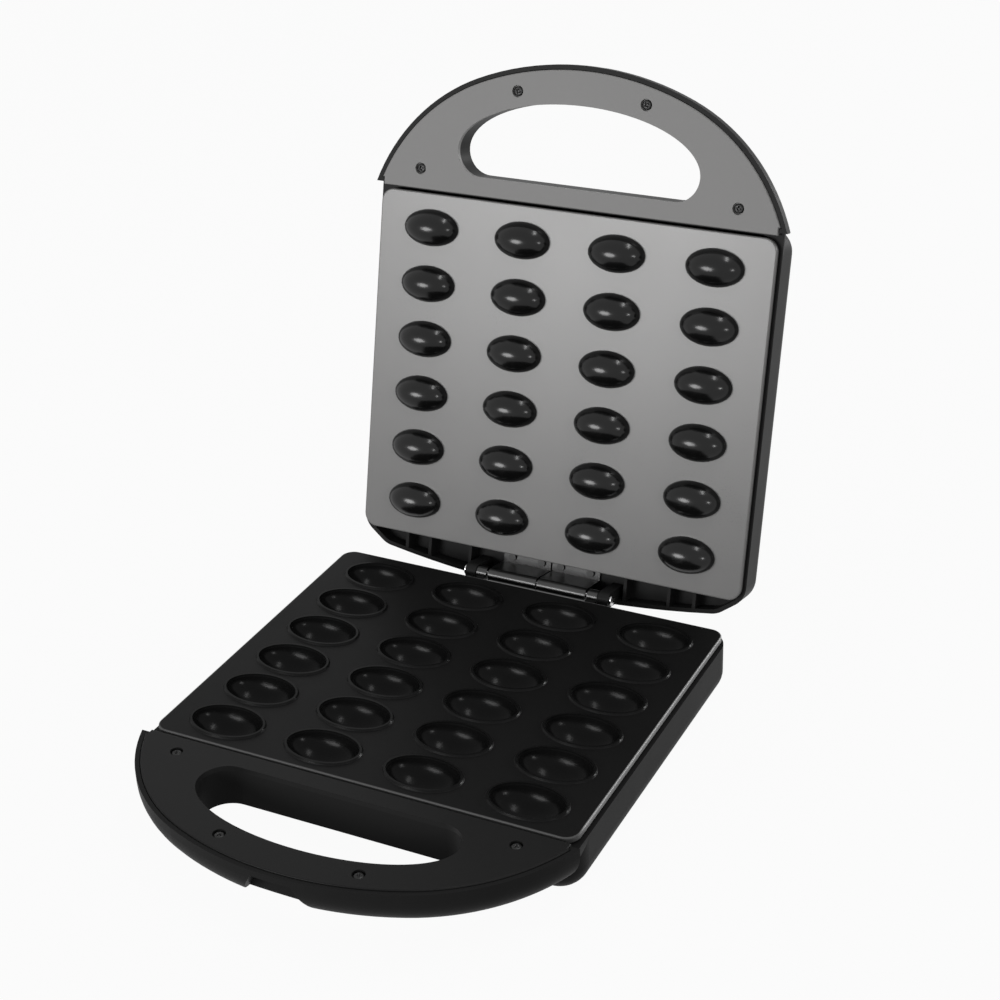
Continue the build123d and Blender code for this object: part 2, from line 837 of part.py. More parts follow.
def upper_leads():
    """Wires from the contact pins to the thermostat, and from it to the fuse."""
    tip = leg_end + pin_length
    turn = tip + lead_bend + lead_radius
    level_z = -plate_wall - thermostat_height - thermostat_base / 2
    reach = thermostat_ear
    y = thermostat_row * row_pitch
    wires = []
    for side in mirror_x:
        x = side * leg_place
        elbow = reach + 2 * lead_bend
        wires.append(lead([
            (x, tip, -upper_tube_drop), (x, turn, -upper_tube_drop), (side * elbow, turn, level_z),
            (side * elbow, y, level_z), (side * reach, y, level_z),
        ]))
    return Compound(wires)


def lower_parts():
    """Everything that stands still, in the half frame."""
    return {
        "lower_housing": lower_housing(),
        "lower_handle_cover": grip_cover(),
        "lower_cover_screws": cover_screws(),
        "lower_baking_plate": lower_plate(),
        "lower_heating_element": element(lower_tube_drop),
        "lower_element_insulators": insulators(lower_tube_drop),
        "lower_element_clamps": clamps(lower_tube_drop),
        "lower_clamp_screws": clamp_screws(lower_tube_drop),
        "lower_reflector": reflector(),
        "lower_plate_screws": plate_screws(body_depth),
        "rubber_feet": feet(),
        "foot_screws": foot_screws(),
        "hinge_base_brackets": base_brackets(),
        "hinge_bracket_screws": bracket_screws(),
        "hinge_pin": hinge_pin(),
        "cord_gland": gland(),
        "gland_lock_nut": gland_lock_nut(),
        "terminal_block": terminal_block(),
        "lower_leads": lower_leads(),
    }


def upper_parts():
    """Everything that swings, in the half frame."""
    ready, power = lamp_places()
    return {
        "upper_housing": upper_housing(),
        "upper_handle_cover": grip_cover(),
        "upper_cover_screws": cover_screws(),
        "upper_baking_plate": upper_plate(),
        "upper_heating_element": element(upper_tube_drop),
        "upper_element_insulators": insulators(upper_tube_drop),
        "upper_element_clamps": clamps(upper_tube_drop),
        "upper_clamp_screws": clamp_screws(upper_tube_drop),
        "upper_reflector": reflector(),
        "upper_plate_screws": plate_screws(lid_depth),
        "lid_screw_plugs": screw_plugs(),
        "lid_hinge_knuckles": lid_knuckles(),
        "lid_knuckle_screws": leaf_screws(),
        "thermostat": thermostat(),
        "thermal_fuse": thermal_fuse(),
        "upper_leads": upper_leads(),
        "power_lamp_lens": lamp_lens(power),
        "ready_lamp_lens": lamp_lens(ready),
        "lamp_cups": lamp_cups(),
    }


def swing_open(piece):
    """Turns a piece of the upper half over, sets it on the lower half and swings it open."""
    closed = Pos(0, 0, plate_gap) * mirror(piece, Plane.XY)
    axis = Axis((0, hinge_place, hinge_height), (1, 0, 0))
    return closed.rotate(axis, -open_angle)


def assembly():
    """Every piece in its place, with the origin on the table under the middle of the whole."""
    pieces = lower_parts()
    pieces.update({name: swing_open(piece) for name, piece in upper_parts().items()})
    boxes = [piece.bounding_box() for piece in pieces.values()]
    middle = (min(box.min.Y for box in boxes) + max(box.max.Y for box in boxes)) / 2
    return {name: Pos(0, -middle, level) * piece for name, piece in pieces.items()}, -middle


if __name__ == "__main__":
    os.makedirs("parts", exist_ok=True)
    placed, shift = assembly()
    for name, piece in placed.items():
        export_step(piece, f"parts/{name}.step")
    print("grid middle at y", round(shift, 3), "baking face at z", level)
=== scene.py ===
# %% [markdown]
# # An electric nut-shell maker, dressed for its portrait
# The appliance stands open: a black lower half with oval moulds, and a lid whose grey plate carries
# glossy oval domes. The packed solids have the right shapes already, so this lesson gives each of them
# its finish, models the small things that plain solids lack, and sets up light and camera.
# Everything is in metres, and the frame comes first, because every later place is worked out from it.

# %% Load the frame
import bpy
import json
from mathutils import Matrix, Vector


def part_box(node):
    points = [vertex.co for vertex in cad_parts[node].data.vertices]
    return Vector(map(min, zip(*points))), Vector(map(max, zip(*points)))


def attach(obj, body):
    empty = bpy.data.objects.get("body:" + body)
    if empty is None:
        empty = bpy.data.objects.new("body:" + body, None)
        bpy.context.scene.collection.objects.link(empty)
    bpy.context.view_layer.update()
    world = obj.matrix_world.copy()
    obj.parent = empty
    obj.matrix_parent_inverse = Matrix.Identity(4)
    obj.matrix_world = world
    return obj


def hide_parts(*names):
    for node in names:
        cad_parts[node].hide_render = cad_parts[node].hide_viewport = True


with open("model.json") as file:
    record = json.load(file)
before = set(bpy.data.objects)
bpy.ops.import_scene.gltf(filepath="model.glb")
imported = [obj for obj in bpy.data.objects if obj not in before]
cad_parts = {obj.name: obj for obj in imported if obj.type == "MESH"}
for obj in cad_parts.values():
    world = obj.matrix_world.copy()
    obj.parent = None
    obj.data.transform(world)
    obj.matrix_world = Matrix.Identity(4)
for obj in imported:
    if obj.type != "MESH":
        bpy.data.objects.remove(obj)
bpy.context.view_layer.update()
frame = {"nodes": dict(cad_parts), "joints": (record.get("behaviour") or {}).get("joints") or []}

# %% [markdown]
# ## What the lesson works with
# Blender's own modules, numpy for whole arrays of points, and short names for the scene and the packed
# pieces. A millimetre gets a name, because the parts are small and the unit is the metre.

# %% Modules and short names
import json
from math import cos, pi, radians, sin

import bpy
import numpy as np
from mathutils import Matrix, Vector

scene = bpy.context.scene
nodes = frame["nodes"]
MM = 0.001
print("nodes in the frame:", len(nodes))

# %% [markdown]
# ## Where things are
# The face of the lower plate is level with the lower handle cover, so the cover's box gives its height.
# The lid's face is a plane too. Its direction follows from the opening angle of the hinge, and its place
# from the lid's handle cover, which is flush with it.

# %% Planes of the two baking faces
open_angle = radians(frame["joints"][0]["range_deg"][1])
lower_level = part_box("lower_handle_cover")[1].z
lid_normal = Vector((0.0, -sin(open_angle), -cos(open_angle)))


def vertices_of(name):
    """All the points of a CAD node as one array, a row for each point."""
    mesh = nodes[name].data
    flat = np.empty(len(mesh.vertices) * 3, np.float32)
    mesh.vertices.foreach_get("co", flat)
    return flat.reshape(-1, 3)


lid_level = float((vertices_of("upper_handle_cover") @ np.array(lid_normal)).max())
plate_low, plate_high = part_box("lower_baking_plate")
GRID_BEHIND = 1.0 * MM
grid_middle = Vector((0.0, (plate_low.y + plate_high.y) / 2 - GRID_BEHIND, lower_level))
print("lower face at", round(lower_level, 4), "lid face at", round(lid_level, 4))

# %% [markdown]
# ## Camera
# The photograph was measured first: its vanishing lines and the two mould grids give one pinhole camera.
# It looks from the right front, 28 degrees down, and is turned a little about its own axis.
# The camera is built from those angles, so no point of the picture is stored here.

# %% Camera
AZIMUTH, ELEVATION, ROLL = radians(27.03), radians(27.93), radians(-2.14)
DISTANCE = 1.11655
SIDE_STEP, UP_STEP = -0.02962, -0.09962
FOCAL_PIXELS, FRAME_PIXELS, SENSOR = 2003.4, 1000.0, 36.0

back = Vector((sin(AZIMUTH) * cos(ELEVATION), -cos(AZIMUTH) * cos(ELEVATION), sin(ELEVATION)))
level_right = Vector((cos(AZIMUTH), sin(AZIMUTH), 0.0))
level_up = back.cross(level_right)
right = cos(ROLL) * level_right + sin(ROLL) * level_up
up = -sin(ROLL) * level_right + cos(ROLL) * level_up
place = grid_middle + DISTANCE * back - SIDE_STEP * right - UP_STEP * up

camera_data = bpy.data.cameras.new("camera")
camera_data.lens = SENSOR * FOCAL_PIXELS / FRAME_PIXELS
camera_data.sensor_width = SENSOR
camera = bpy.data.objects.new("camera", camera_data)
camera.matrix_world = Matrix.Translation(place) @ Matrix((right, up, back)).transposed().to_4x4()
scene.collection.objects.link(camera)
scene.camera = camera
scene.view_settings.view_transform = "Standard"
print("camera at", [round(part, 3) for part in place])

# %% [markdown]
# ## Writing materials as sums
# A finish is a formula: how rough, how dark and how bumpy the surface is at each point. Shader nodes can
# say that, but wiring them by hand hides the formula. The class below wraps one output socket and turns
# `a * b + 1` into Math nodes, so each finish further down reads like the sentence that describes it.

# %% A socket that can be calculated with
NOISE_MIDDLE = 0.5


class Value:
    """One number or vector that a shader works out at each point."""

    def __init__(self, tree, socket):
        self.tree, self.socket = tree, socket

    def math(self, operation, *others):
        """A Math node with this value first."""
        values = (self, *others)
        return node(self.tree, "ShaderNodeMath", {"operation": operation}, dict(enumerate(values)))

    def __add__(self, other):
        return self.math("ADD", other)

    def __sub__(self, other):
        return self.math("SUBTRACT", other)

    def __mul__(self, other):
        return self.math("MULTIPLY", other)

    def __truediv__(self, other):
        return self.math("DIVIDE", other)

    def __rsub__(self, other):
        return node(self.tree, "ShaderNodeMath", {"operation": "SUBTRACT"}, {0: other, 1: self})

    __radd__, __rmul__ = __add__, __mul__

    def swing(self, amount):
        """How far a noise is from its middle, times an amount: below zero as often as above."""
        return (self - NOISE_MIDDLE) * amount

    def ramp(self, start, end, low=0.0, high=1.0):
        """This value, rising smoothly from low at start to high at end."""
        inputs = {0: self, 1: start, 2: end, 3: low, 4: high}
        return node(self.tree, "ShaderNodeMapRange", {"interpolation_type": "SMOOTHSTEP"}, inputs)


def node(tree, kind, settings, inputs, output=0):
    """Adds a node: its settings first, then the value or link of each named or numbered socket."""
    made = tree.nodes.new(kind)
    for name, setting in settings.items():
        setattr(made, name, setting)
    for key, value in inputs.items():
        if isinstance(value, Value):
            tree.links.new(value.socket, made.inputs[key])
        else:
            made.inputs[key].default_value = value
    return Value(tree, made.outputs[output])


print("operators of a value:", [name for name in vars(Value) if name.startswith("__r")])

# %% [markdown]
# ## Colours, noise and bumps
# All the finishes share a few ingredients: a neutral colour, a blend of two colours, random clouds at a
# stated scale, and a bump whose depth is a real length. Each is one short function. The clouds read the
# place on the object, so they stay where they are when a half of the appliance moves.

# %% Ingredients of a finish
def grey(value, warmth=0.0):
    """A neutral colour, a little warmer or cooler if wanted."""
    return (value * (1 + warmth), value, value * (1 - warmth), 1.0)


def mix(tree, amount, first, second):
    """A colour between two others."""
    settings = {"data_type": "RGBA"}
    return node(tree, "ShaderNodeMix", settings, {0: amount, 6: first, 7: second}, output=2)


def noise(tree, where, scale, detail):
    """Soft random clouds between 0 and 1, so many per metre."""
    return node(tree, "ShaderNodeTexNoise", {}, {"Vector": where, "Scale": scale, "Detail": detail})


def bump(tree, height, depth):
    """The normal of a surface whose height varies by some depth in metres."""
    return node(tree, "ShaderNodeBump", {}, {"Distance": depth, "Height": height}, "Normal")


print("a warm grey:", grey(0.5, warmth=0.02))

# %% [markdown]
# ## Making and giving materials
# A new material hands back its node tree, its shader and the place on the object. A value that varies is
# linked to the shader, and one that is the same all over is set on the shader's own socket.

# %% Making and giving materials
def new_material(name, gloss=0.5):
    """An empty material with its shader, and the place on the object as a value."""
    material = bpy.data.materials.new(name)
    material.use_nodes = True
    tree = material.node_tree
    shader = tree.nodes["Principled BSDF"]
    shader.inputs["Specular IOR Level"].default_value = gloss
    place_on_piece = node(tree, "ShaderNodeTexCoord", {}, {}, output="Object")
    return material, tree, shader, place_on_piece


def feed(tree, shader, **inputs):
    """Connects or sets the shader's own sockets."""
    for name, value in inputs.items():
        socket = shader.inputs[name.replace("_", " ").title()]
        if isinstance(value, Value):
            tree.links.new(value.socket, socket)
        else:
            socket.default_value = value


def use(material, *names):
    """Gives a material to CAD nodes."""
    for name in names:
        slots = nodes[name].data.materials
        slots.clear()
        slots.append(material)
    print(material.name, "on", ", ".join(names))


# %% [markdown]
# ## Moulded plastic
# The housings are injection moulded in a tool with an etched surface. Such plastic is almost black, with
# a soft wide sheen, a very fine pebble grain, and a faint unevenness where hands have rubbed it. The
# black halves get little gloss: they stand on a pale ground, and would mirror it as grey.

# %% Plastic of the housings and the handle covers
CLOUDS_PER_METRE, CLOUD_DETAIL = 24.0, 4.0
GRAINS_PER_METRE, GRAIN_DETAIL = 1900.0, 2.0
GRAIN_DEPTH, FINE_GRAIN_DEPTH = 0.03 * MM, 0.01 * MM
SHADE_DARK, SHADE_LIGHT = 0.88, 1.12
RUBBED_SWING, GRAIN_SWING = 0.14, 0.1


def moulded_plastic(name, shade, roughness, gloss=0.5, warmth=0.0, grain_depth=GRAIN_DEPTH):
    """Etched plastic: clouds vary its shade and roughness, and a grain of about half a millimetre
    varies its roughness and height."""
    material, tree, shader, where = new_material(name, gloss)
    cloud = noise(tree, where, CLOUDS_PER_METRE, CLOUD_DETAIL)
    grain = noise(tree, where, GRAINS_PER_METRE, GRAIN_DETAIL)
    dark, light = grey(shade * SHADE_DARK, warmth), grey(shade * SHADE_LIGHT, warmth)
    feed(tree, shader,
         base_color=mix(tree, cloud, dark, light),
         roughness=roughness + cloud.swing(RUBBED_SWING) + grain.swing(GRAIN_SWING),
         normal=bump(tree, grain, grain_depth))
    return material


lid_black = moulded_plastic("lid_black", shade=0.012, roughness=0.44, gloss=0.06,
                            grain_depth=FINE_GRAIN_DEPTH)
use(moulded_plastic("housing_black", shade=0.011, roughness=0.46, gloss=0.03), "lower_housing")
use(lid_black, "upper_housing", "lid_screw_plugs")
use(moulded_plastic("cover_black", shade=0.008, roughness=0.42, gloss=0.08), "lower_handle_cover")
# The upper cover's grey is a painted sheen, a lit copy of the black plastic of the lower cover.
use(moulded_plastic("cover_grey_painted_sheen", shade=0.155, roughness=0.5, gloss=0.3, warmth=0.01), "upper_handle_cover")
use(moulded_plastic("gland_black", shade=0.014, roughness=0.5, gloss=0.35), "cord_gland", "gland_lock_nut")
use(moulded_plastic("block_cream", shade=0.62, roughness=0.5, warmth=0.08), "terminal_block", "lamp_cups")

# %% [markdown]
# ## Measuring inside a shader
# A coating changes where the cast plate rises, sinks or ends. Two measures tell a shader where that is:
# the height above a plane, and the distance outside a rounded rectangle. Both are in millimetres, and
# both come from the place on the object, so the finish never slides over the plate.

# %% Height above a plane, and distance outside an outline
def vector_math(tree, operation, *values, output=0):
    """A Vector Math node with these values."""
    return node(tree, "ShaderNodeVectorMath", {"operation": operation}, dict(enumerate(values)), output)


def height_above(tree, where, normal, level):
    """How far a point lies above a plane: its dot product with the normal, less the plane's own."""
    return (vector_math(tree, "DOT_PRODUCT", where, normal, output="Value") - level) / MM


def outside_outline(tree, where, low, high, corner):
    """How far a point lies outside a rounded rectangle seen from above, negative inside.

    The point is folded into one quarter and measured from the middle of that quarter's corner arc:
    the length of what is past that middle, less the corner's radius."""
    centre, half = (low + high) / 2, (high - low) / 2
    folded = vector_math(tree, "ABSOLUTE", vector_math(tree, "SUBTRACT", where, centre))
    arc_middle = Vector((half.x - corner, half.y - corner, 1.0))
    past = vector_math(tree, "SUBTRACT", folded, arc_middle)
    positive = vector_math(tree, "MAXIMUM", past, (0, 0, 0))
    return (vector_math(tree, "LENGTH", positive, output="Value") - corner) / MM


plate_size = plate_high - plate_low
print("lower plate:", round(plate_size.x / MM), "x", round(plate_size.y / MM), "mm")

# %% [markdown]
# ## Coating of the lower plate
# The plate is cast aluminium with a sprayed black coating, glossier in the moulds and on the beads round
# them, where the casting tool was polished. Along the rim a bright grey line is painted: worn metal and a
# painted highlight of the lit edge, most of all on the long sides, and dimmed as painted shade in front by
# the handle cover.

# %% Lower plate
PLATE_CORNER = 8 * MM
BEAD_FOOT, BEAD_TOP = 0.15, 0.7
MOULD_INSIDE, MOULD_LIP = -0.9, -0.2
RIM_INNER, RIM_OUTER = -1.0, -0.5
# The rim's level near the front is painted shade, for the gap by the handle cover lying in shadow.
FRONT_NEAR, FRONT_FAR, FRONT_SHADE_LEVEL = 3.0, 16.0, 0.3
LOWER_SPECKLES, LOWER_CLOUDS = 2600.0, 30.0
SPECK_START, SPECK_FULL = 0.55, 0.75
SATIN, SATIN_SWING = 0.44, 0.12
POLISH, POLISH_SWING = 0.2, 0.08
RIM_METAL, RIM_ROUGHNESS = 0.6, 0.5
# The rim grey is worn bare metal and also a painted highlight of the plate's lit edge.
COATING_DARK, COATING_LIGHT, RIM_WEAR_AND_HIGHLIGHT_GREY = grey(0.004), grey(0.009), grey(0.2)
LOWER_SPECKLE_DEPTH = 0.02 * MM


def lower_coating():
    """Black coating: satin on the flat, polished in moulds and on beads, and at the rim a bright grey that
    is worn metal and painted highlight, dimmed in front by painted shade.

    Each place is a mask between 0 and 1, and the roughness is the sum of the masks, each times its own."""
    material, tree, shader, where = new_material("lower_coating", gloss=0.07)
    height = height_above(tree, where, Vector((0, 0, 1)), lower_level)
    from_front = height_above(tree, where, Vector((0, 1, 0)), plate_low.y)
    # Painted shade: the rim line is dimmed towards the front, where the gap by the handle cover is shaded.
    rim_front_shade = from_front.ramp(FRONT_NEAR, FRONT_FAR, low=FRONT_SHADE_LEVEL)
    outside = outside_outline(tree, where, plate_low, plate_high, PLATE_CORNER)
    # The rim mask paints a bright grey line: worn metal and a painted highlight of the lit edge.
    rim = outside.ramp(RIM_INNER, RIM_OUTER) * rim_front_shade
    bead = height.ramp(BEAD_FOOT, BEAD_TOP)
    mould = height.ramp(MOULD_INSIDE, MOULD_LIP, low=1.0, high=0.0)
    polished = bead.math("MAXIMUM", mould)
    speckle = noise(tree, where, LOWER_SPECKLES, detail=1.0)
    cloud = noise(tree, where, LOWER_CLOUDS, detail=3.0)
    satin = SATIN + cloud.swing(SATIN_SWING) + speckle.swing(SATIN_SWING)
    polish = POLISH + cloud.swing(POLISH_SWING)
    coated = mix(tree, speckle.ramp(SPECK_START, SPECK_FULL), COATING_DARK, COATING_LIGHT)
    feed(tree, shader,
         base_color=mix(tree, rim, coated, RIM_WEAR_AND_HIGHLIGHT_GREY),
         metallic=rim * RIM_METAL,
         roughness=(satin * (1 - polished) + polish * polished) * (1 - rim) + rim * RIM_ROUGHNESS,
         normal=bump(tree, speckle * (1 - rim), LOWER_SPECKLE_DEPTH))
    return material


use(lower_coating(), "lower_baking_plate")

# %% [markdown]
# ## Coating of the lid's plate
# On the lid the flat is grey, with a little metal in it, and only the domes are black and shiny. Height
# above the face tells the two apart, so one formula serves all 24 domes. The plate is smooth enough to
# mirror a lamp as a soft glow, and that makes it fade from light at the top to darker at the hinge.

# %% Lid plate
DOME_FOOT, DOME_START = 0.02, 0.1
LID_SPECKLES, LID_CLOUDS = 2400.0, 22.0
FLAT_DARK, FLAT_LIGHT, DOME_BLACK = grey(0.112, warmth=0.008), grey(0.13, warmth=0.01), grey(0.004)
FLAT_METAL = 0.12
FLAT_ROUGHNESS, FLAT_SPECKLE_SWING, FLAT_CLOUD_SWING = 0.3, 0.1, 0.06
DOME_ROUGHNESS = 0.2
LID_SPECKLE_DEPTH = 0.003 * MM


def lid_coating():
    """Grey coating on the flat and glossy black on the domes, told apart by a mask of the height."""
    material, tree, shader, where = new_material("lid_coating", gloss=0.28)
    dome = height_above(tree, where, lid_normal, lid_level).ramp(DOME_FOOT, DOME_START)
    speckle = noise(tree, where, LID_SPECKLES, detail=1.0)
    cloud = noise(tree, where, LID_CLOUDS, detail=3.0)
    flat = mix(tree, cloud, FLAT_DARK, FLAT_LIGHT)
    flat_roughness = FLAT_ROUGHNESS + speckle.swing(FLAT_SPECKLE_SWING) + cloud.swing(FLAT_CLOUD_SWING)
    feed(tree, shader,
         base_color=mix(tree, dome, flat, DOME_BLACK),
         metallic=(1 - dome) * FLAT_METAL,
         roughness=flat_roughness * (1 - dome) + dome * DOME_ROUGHNESS,
         normal=bump(tree, speckle * (1 - dome), LID_SPECKLE_DEPTH))
    return material


use(lid_coating(), "upper_baking_plate")

# %% [markdown]
# ## Metals
# The hinge is drawn and polished steel with a dark finish, its pin is bright, and the screws that show
# are blackened. The sheet parts and screws inside are zinc plated. Drawing and rolling leave fine
# scratches along a bar or sheet, so their grain is stretched along X, the hinge's own axis.

# %% Metals
SCRATCHES_PER_METRE, METAL_CLOUDS, METAL_DETAIL = 900.0, 60.0, 3.0
METAL_DARK, METAL_LIGHT = 0.85, 1.1
SCRATCH_DEPTH = 0.0015 * MM
ALONG_X, ROLLED_X, EVEN = (0.15, 1.0, 1.0), (0.3, 1.0, 1.0), (1.0, 1.0, 1.0)


def worked_metal(name, shade, roughness, stretch=EVEN, warmth=0.0, unevenness=0.16):
    """Metal whose roughness and height vary along scratches: a noise on a place scaled unevenly."""
    material, tree, shader, where = new_material(name)
    placed = node(tree, "ShaderNodeMapping", {}, {"Vector": where, "Scale": stretch})
    scratch = noise(tree, placed, SCRATCHES_PER_METRE, METAL_DETAIL)
    cloud = noise(tree, where, METAL_CLOUDS, METAL_DETAIL)
    dark, light = grey(shade * METAL_DARK, warmth), grey(shade * METAL_LIGHT, warmth)
    feed(tree, shader,
         base_color=mix(tree, cloud, dark, light),
         metallic=1.0,
         roughness=roughness + scratch.swing(unevenness),
         normal=bump(tree, scratch, SCRATCH_DEPTH))
    return material


hinge_dark = worked_metal("hinge_dark", shade=0.06, roughness=0.3, stretch=ALONG_X, unevenness=0.04)
black_oxide = worked_metal("black_oxide", shade=0.035, roughness=0.36)
use(hinge_dark, "hinge_base_brackets", "lid_hinge_knuckles")
use(worked_metal("bright_steel", shade=0.62, roughness=0.22, stretch=ALONG_X), "hinge_pin")
use(black_oxide, "hinge_bracket_screws", "lid_knuckle_screws", "lower_cover_screws", "upper_cover_screws")
use(worked_metal("zinc", shade=0.6, roughness=0.34, warmth=0.01),
    "foot_screws", "lower_plate_screws", "upper_plate_screws", "lower_clamp_screws",
    "upper_clamp_screws", "lower_element_clamps", "upper_element_clamps", "thermostat")
use(worked_metal("sheath", shade=0.3, roughness=0.42, warmth=0.03),
    "lower_heating_element", "upper_heating_element")
use(worked_metal("foil", shade=0.82, roughness=0.18, stretch=ROLLED_X), "lower_reflector", "upper_reflector")

# %% [markdown]
# ## Rubber feet
# Rubber is dull and gathers dust, which lies in patches and makes it paler and rougher.

# %% Rubber feet
DUST_PER_METRE, DUST_DETAIL = 180.0, 5.0
DUST_START, DUST_FULL = 0.5, 0.9
RUBBER_BLACK, DUST_GREY = grey(0.018), grey(0.05, warmth=0.05)
RUBBER_ROUGHNESS, DUST_SWING = 0.78, 0.2
DUST_DEPTH = 0.06 * MM


def rubber():
    """Dull black rubber, paler where a noise is high enough to be dust."""
    material, tree, shader, where = new_material("foot_rubber")
    dust = noise(tree, where, DUST_PER_METRE, DUST_DETAIL)
    feed(tree, shader,
         base_color=mix(tree, dust.ramp(DUST_START, DUST_FULL), RUBBER_BLACK, DUST_GREY),
         roughness=RUBBER_ROUGHNESS + dust.swing(DUST_SWING),
         normal=bump(tree, dust, DUST_DEPTH))
    return material


use(rubber(), "rubber_feet")

# %% [markdown]
# ## Ceramic and lamp lenses
# The insulators are glazed white ceramic, and the two lenses are coloured plastic. Both have a clear
# smooth surface over a coloured body, so one function with a coat makes them all.

# %% Ceramic and lamp lenses
GLAZE_CLOUDS, GLAZE_DETAIL, GLAZE_SWING = 120.0, 2.0, 0.1
GLAZE_DARK, GLAZE_COAT = 0.8, 0.5
RED, GREEN = (0.42, 0.012, 0.01, 1.0), (0.02, 0.24, 0.05, 1.0)
GLAZE_WHITE = grey(0.78, warmth=0.03)


def glazed(name, colour, roughness):
    """A smooth coloured body under a clear coat, its shade and roughness a little cloudy."""
    material, tree, shader, where = new_material(name)
    cloud = noise(tree, where, GLAZE_CLOUDS, GLAZE_DETAIL)
    darker = tuple(part * GLAZE_DARK for part in colour[:3]) + (1.0,)
    feed(tree, shader,
         base_color=mix(tree, cloud, darker, colour),
         roughness=roughness + cloud.swing(GLAZE_SWING),
         coat_weight=GLAZE_COAT)
    return material


use(glazed("steatite", GLAZE_WHITE, roughness=0.25),
    "lower_element_insulators", "upper_element_insulators")
use(glazed("red_lens", RED, roughness=0.16), "power_lamp_lens")
use(glazed("green_lens", GREEN, roughness=0.16), "ready_lamp_lens")

# %% [markdown]
# ## Woven sleeves
# Leads that run near a heating element have a sleeve woven of glass fibre. Two crossing sets of fine
# waves, of which the higher one is on top at each point, give its threads.

# %% Woven sleeves
THREADS_PER_METRE, THREAD_WANDER = 900.0, 0.6
SLEEVE_ROUGHNESS, THREAD_SHEEN = 0.85, 0.15
GAP_GREY, THREAD_WHITE = grey(0.42, warmth=0.04), grey(0.72, warmth=0.03)
THREAD_DEPTH = 0.12 * MM


def woven_sleeve():
    """A glass-fibre sleeve: the larger of two waves that run along X and along Z."""
    material, tree, shader, where = new_material("woven_sleeve")
    inputs = {"Vector": where, "Scale": THREADS_PER_METRE, "Distortion": THREAD_WANDER}
    along, across = (
        node(tree, "ShaderNodeTexWave", {"bands_direction": direction}, inputs)
        for direction in ("X", "Z")
    )
    weave = along.math("MAXIMUM", across)
    feed(tree, shader,
         base_color=mix(tree, weave, GAP_GREY, THREAD_WHITE),
         roughness=SLEEVE_ROUGHNESS - weave * THREAD_SHEEN,
         normal=bump(tree, weave, THREAD_DEPTH))
    return material


use(woven_sleeve(), "lower_leads", "upper_leads", "thermal_fuse")
print("materials made:", len(bpy.data.materials))

# %% [markdown]
# ## Screws with a cross recess
# The eight screws of the handle covers show in the photograph, each deep in its own round recess. A plain
# disc would look like a rivet, so each head is worked out as one surface: a low dome in polar
# coordinates, pressed in along two crossing slots that get shallower towards their ends.

# %% One screw head as a surface of radius and angle
HEAD_RADIUS, HEAD_HEIGHT = 2.8 * MM, 1.4 * MM
RIM_SHARE, DOME_POWER, RING_CROWDING = 0.45, 2.6, 0.8
SLOT_WIDTH, SLOT_REACH, SLOT_DEPTH = 0.42 * MM, 1.75 * MM, 0.95 * MM
SLOT_SLOPE, SLOT_WALL = 1.6, 0.06 * MM
RINGS, SPOKES = 26, 72


def head_points():
    """A dome over a disc: height falls from the middle with a rounded power of the radius, less the
    cross-shaped recess.

    The recess is deepest in the middle and rises in a straight line to the slots' ends, and its walls
    are a steep smooth step across the slot's width. A last ring at height zero is the head's skirt."""
    share = np.linspace(0.0, 1.0, RINGS)[:, None] ** RING_CROWDING
    angle = np.linspace(0.0, 2 * pi, SPOKES, endpoint=False)[None, :]
    x, y = HEAD_RADIUS * share * np.cos(angle), HEAD_RADIUS * share * np.sin(angle)
    dome = HEAD_HEIGHT * (RIM_SHARE + (1 - RIM_SHARE) * np.sqrt(1 - share**DOME_POWER))
    across, along = np.minimum(abs(x), abs(y)), np.maximum(abs(x), abs(y))
    slope = np.clip(1 - along / SLOT_REACH, 0, 1)
    inside = 1 / (1 + np.exp((across - SLOT_WIDTH) / SLOT_WALL))
    top = dome - SLOT_DEPTH * np.minimum(1, SLOT_SLOPE * slope) * inside
    skirt = np.stack([x[-1], y[-1], np.zeros(SPOKES)], axis=-1)[None]
    rings = np.concatenate([np.stack([x, y, top], axis=-1)[1:], skirt])
    return rings.reshape(-1, 3)


def head_faces(first):
    """Quads between neighbouring rings, and a fan of triangles that closes the middle and the seat."""
    ring, spoke = np.meshgrid(np.arange(RINGS - 1), np.arange(SPOKES), indexing="ij")
    following = (spoke + 1) % SPOKES
    here, outward = ring * SPOKES, (ring + 1) * SPOKES
    corners = [here + spoke, outward + spoke, outward + following, here + following]
    quads = np.stack(corners, axis=-1).reshape(-1, 4) + first
    spoke, following = spoke[0], following[0]
    last = (RINGS - 1) * SPOKES
    centre, seat = np.full(SPOKES, RINGS * SPOKES), np.full(SPOKES, RINGS * SPOKES + 1)
    middle_fan = np.stack([centre, spoke, following], axis=-1) + first
    seat_fan = np.stack([seat, last + following, last + spoke], axis=-1) + first
    return quads.tolist() + middle_fan.tolist() + seat_fan.tolist()


print("points in one head:", len(head_points()) + 2, "faces:", len(head_faces(0)))

# %% [markdown]
# ## Seating the heads
# The packed screws say where each head belongs: their points fall into clusters along the cover, and the
# highest points of a cluster are the rim of its head. Every head is turned by a different angle, because
# nobody lines up screws when tightening them.

# %% All the heads of one cover
CLUSTER_WIDTH, HEAD_ZONE = 20 * MM, 0.5 * MM
FIRST_TWIST, NEXT_TWIST = 0.35, 0.9


def screw_clusters(name):
    """The points of each screw of a CAD node, told apart by the strip of X that they fall into."""
    points = vertices_of(name).astype(float)
    strips = np.round(points[:, 0] / CLUSTER_WIDTH)
    return [points[strips == strip] for strip in np.unique(strips)]


